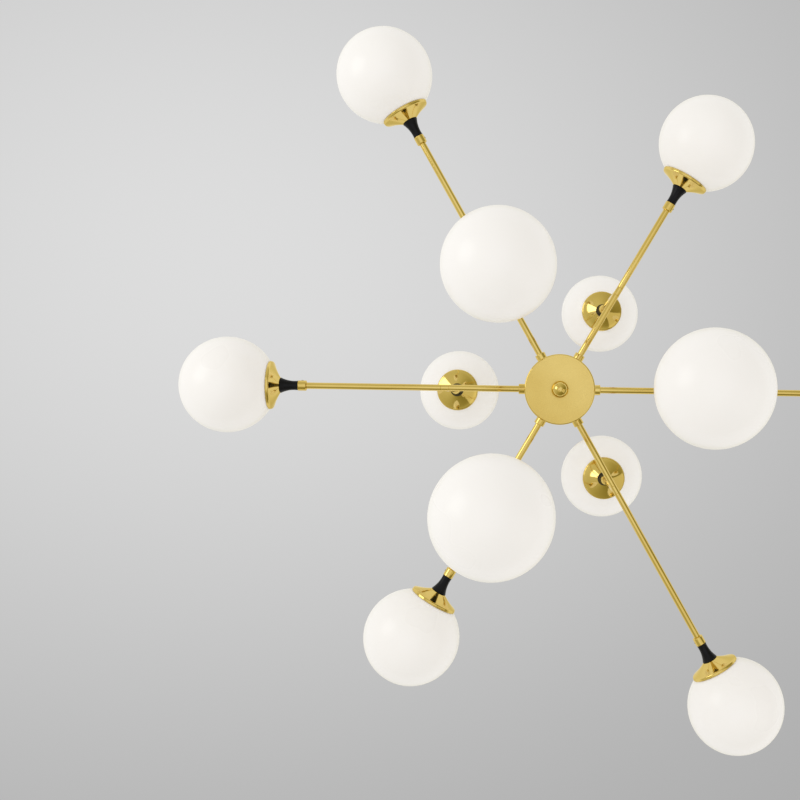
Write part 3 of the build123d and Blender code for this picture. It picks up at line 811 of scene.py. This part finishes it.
# The remaining solids keep their CAD meshes
kept = {
    drawn: ["swivel_low_yoke", "swivel_link", "swivel_top_yoke"],
    steel: ["head_nipples", "hub_nuts", "centre_stud", "swivel_pins", "mounting_bracket", "hanger_stud"],
    plastic: ["terminal_block"],
}
for material, names in kept.items():
    for name in names:
        mesh = nodes[name].data
        mesh.materials.clear()
        mesh.materials.append(material)
        mesh.shade_smooth()
        mesh.set_sharp_from_angle(angle=CREASE)


# Light and camera, in metres and in pixels of the photograph

EVEN_LIGHT = (0.875, 0.867, 0.852, 1.0)
AIM = Vector((0.0, 0.0, LEVEL * MM))
KEY = {"place": (-2.84, -1.03, -2.37), "size": 1.8, "power": 20.0, "colour": (0.97, 0.985, 1.0)}
FILL = {"place": (2.4, 1.0, -2.6), "size": 2.4, "power": 8.0, "colour": (1.0, 0.97, 0.92)}

# The grey sheet behind: where it is lightest, how its spot is squeezed, how far it reaches, and its tones
SHEET_MIDDLE = (-0.244, -0.117, 0.94)
SHEET_SQUEEZE = (1.0, 1.34, 1.0)
SHEET_REACH = 0.83
SHEET_TONES = (0.723, 0.415)

# What brass mirrors: tones, and the spans of height over which each goes over into the next
FLOOR_TONE = 0.95
FLOOR_TO_BAND = (-0.98, -0.72)
BAND_TOWARDS = (0.85, 0.52, 0.0)
BAND_SPAN = (-0.9, 0.9)
BAND_TONES = (0.70, 0.28)
BAND_TO_WALLS = (-0.06, 0.26)
WALL_TONE = 0.92
WALLS_TO_SHEET = (0.62, 0.98)
MIRRORED_REACH = 1.2
MIRRORED_TONES = (0.88, 0.58)

# Dark tones are warm: each channel is the tone to its power
WARMTH = {"Red": 1.0, "Green": 1.08, "Blue": 1.9}

PHOTO_PIXELS = 800.0
FOCAL_PIXELS = 1210.0
LENS_MIDDLE = (527.0, 385.0)
SENSOR_WIDTH = 36.0
CAMERA_ASIDE = (-0.0511, 0.0195)
CAMERA_BELOW = 1.901
CAMERA_TURN = radians(0.9)
CAMERA_TILT = radians(-0.78)


def soft_light(name, place, size, power, colour):
    """A square soft box that faces the hub."""
    light = bpy.data.lights.new(name, "AREA")
    light.size = size
    light.energy = power
    light.color = colour
    obj = bpy.data.objects.new(name, light)
    obj.location = place
    obj.rotation_euler = (AIM - Vector(place)).to_track_quat("-Z", "Y").to_euler()
    bpy.context.scene.collection.objects.link(obj)


def studio():
    """Even light all round. The camera sees a grey sheet, lightest up and to its left. Brass mirrors that
    sheet, pale walls under it, a darker and warmer band, darkest to the right, and a bright floor."""
    world = bpy.data.worlds.new("studio")
    bpy.context.scene.world = world
    world.use_nodes = True
    tree = world.node_tree
    tree.nodes.clear()

    def link(source, target):
        tree.links.new(source, target)

    def vector(operation, source, other, output="Vector"):
        """One step of vector arithmetic with a fixed vector."""
        step = tree.nodes.new("ShaderNodeVectorMath")
        step.operation = operation
        link(source, step.inputs[0])
        step.inputs[1].default_value = other
        return step.outputs[output]

    def spread(value, low, high, at_low, at_high):
        """A value carried smoothly from one span to another, whose ends may be values too."""
        ramp = tree.nodes.new("ShaderNodeMapRange")
        ramp.interpolation_type = "SMOOTHSTEP"
        ramp.inputs["From Min"].default_value = low
        ramp.inputs["From Max"].default_value = high
        for name, level in (("To Min", at_low), ("To Max", at_high)):
            if isinstance(level, float):
                ramp.inputs[name].default_value = level
            else:
                link(level, ramp.inputs[name])
        link(value, ramp.inputs["Value"])
        return ramp.outputs["Result"]

    def background(colour):
        """Light of one colour, or of a colour that a value gives."""
        shader = tree.nodes.new("ShaderNodeBackground")
        if isinstance(colour, tuple):
            shader.inputs["Color"].default_value = colour
        else:
            link(colour, shader.inputs["Color"])
        return shader.outputs["Background"]

    def mix(share, first, second):
        """The first light, or the second one where share is one."""
        shader = tree.nodes.new("ShaderNodeMixShader")
        link(share, shader.inputs["Fac"])
        link(first, shader.inputs[1])
        link(second, shader.inputs[2])
        return shader.outputs["Shader"]

    direction = tree.nodes.new("ShaderNodeTexCoord").outputs["Generated"]
    squeezed = vector("MULTIPLY", vector("SUBTRACT", direction, SHEET_MIDDLE), SHEET_SQUEEZE)
    away = vector("DISTANCE", squeezed, (0.0, 0.0, 0.0), "Value")
    towards = vector("DOT_PRODUCT", direction, BAND_TOWARDS, "Value")
    height = vector("DOT_PRODUCT", direction, (0.0, 0.0, 1.0), "Value")

    band = spread(towards, *BAND_SPAN, *BAND_TONES)
    low = spread(height, *FLOOR_TO_BAND, FLOOR_TONE, band)
    walls = spread(height, *BAND_TO_WALLS, low, WALL_TONE)
    level = spread(height, *WALLS_TO_SHEET, walls, spread(away, 0.0, MIRRORED_REACH, *MIRRORED_TONES))
    mirrored = tree.nodes.new("ShaderNodeCombineColor")
    for channel, power in WARMTH.items():
        shade = tree.nodes.new("ShaderNodeMath")
        shade.operation = "POWER"
        shade.inputs[1].default_value = power
        link(level, shade.inputs[0])
        link(shade.outputs["Value"], mirrored.inputs[channel])

    rays = tree.nodes.new("ShaderNodeLightPath")
    clear = tree.nodes.new("ShaderNodeMath")
    clear.operation = "MAXIMUM"
    link(rays.outputs["Is Glossy Ray"], clear.inputs[0])
    link(rays.outputs["Is Transmission Ray"], clear.inputs[1])
    lit = mix(clear.outputs["Value"], background(EVEN_LIGHT), background(mirrored.outputs["Color"]))
    seen = background(spread(away, 0.0, SHEET_REACH, *SHEET_TONES))
    output = tree.nodes.new("ShaderNodeOutputWorld")
    link(mix(rays.outputs["Is Camera Ray"], lit, seen), output.inputs["Surface"])


def camera():
    """The photograph's camera: from below, looking straight up, a little left of the hub's axis. The lens is
    shifted by the way from the middle of the picture to the point that it looks at."""
    lens = bpy.data.cameras.new("camera")
    lens.sensor_width = SENSOR_WIDTH
    lens.lens = SENSOR_WIDTH * FOCAL_PIXELS / PHOTO_PIXELS
    lens.shift_x = 0.5 - LENS_MIDDLE[0] / PHOTO_PIXELS
    lens.shift_y = LENS_MIDDLE[1] / PHOTO_PIXELS - 0.5
    obj = bpy.data.objects.new("camera", lens)
    right, down, ahead = Matrix.Rotation(CAMERA_TURN, 3, "Z") @ Matrix.Rotation(CAMERA_TILT, 3, "X")
    place = Vector((*CAMERA_ASIDE, LEVEL * MM - CAMERA_BELOW))
    facing = Matrix((right, -down, -ahead)).transposed()
    obj.matrix_world = Matrix.LocRotScale(place, facing, None)
    bpy.context.scene.collection.objects.link(obj)
    bpy.context.scene.camera = obj


soft_light("key", **KEY)
soft_light("fill", **FILL)
studio()
camera()
bpy.context.scene.view_settings.view_transform = "Standard"
